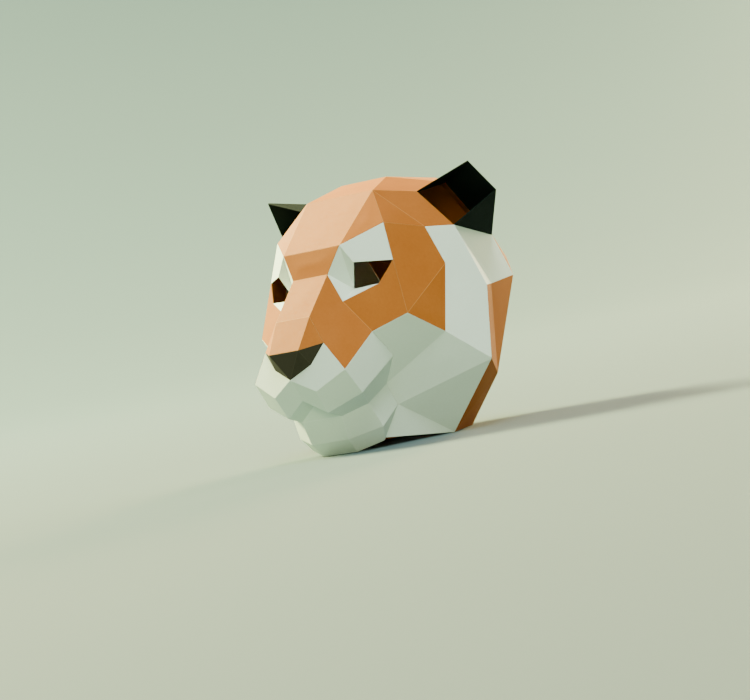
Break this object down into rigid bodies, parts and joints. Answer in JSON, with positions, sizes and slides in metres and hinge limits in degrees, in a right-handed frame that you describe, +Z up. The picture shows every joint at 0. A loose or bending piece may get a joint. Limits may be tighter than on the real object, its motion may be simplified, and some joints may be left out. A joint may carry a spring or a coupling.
{
  "type": "paper animal mask",
  "caption": "Full-head big-cat mask folded from dyed card in flat facets, with a long snout, open eye holes, open ears and an open neck.",
  "frame": {"origin": "on the floor under the middle of the mask's width and depth, level with its neck rim", "axes": "+Z up, -Y the way the face looks, +X the wearer's left"},
  "size_m": [0.3302, 0.337, 0.2939],
  "materials": {
    "orange_card": "matte",
    "white_card": "matte",
    "brown_card": "matte",
    "black_card": "matte"
  },
  "bodies": {
    "root": {"forehead": "orange_card", "crown": "orange_card", "nose_bridge": "orange_card", "nose": "brown_card", "muzzle": "white_card", "chin": "white_card", "back": "orange_card", "nape": "orange_card", "cheek_left": "orange_card", "cheek_right": "orange_card", "temple_left": "orange_card", "temple_right": "orange_card", "eye_socket_left": "white_card", "eye_socket_right": "white_card", "jaw_left": "white_card", "jaw_right": "white_card", "side_band_left": "white_card", "side_band_right": "white_card", "ruff_tuck_left": "orange_card", "ruff_tuck_right": "orange_card", "ear_left": "black_card", "ear_right": "black_card"}
  },
  "joints": []
}
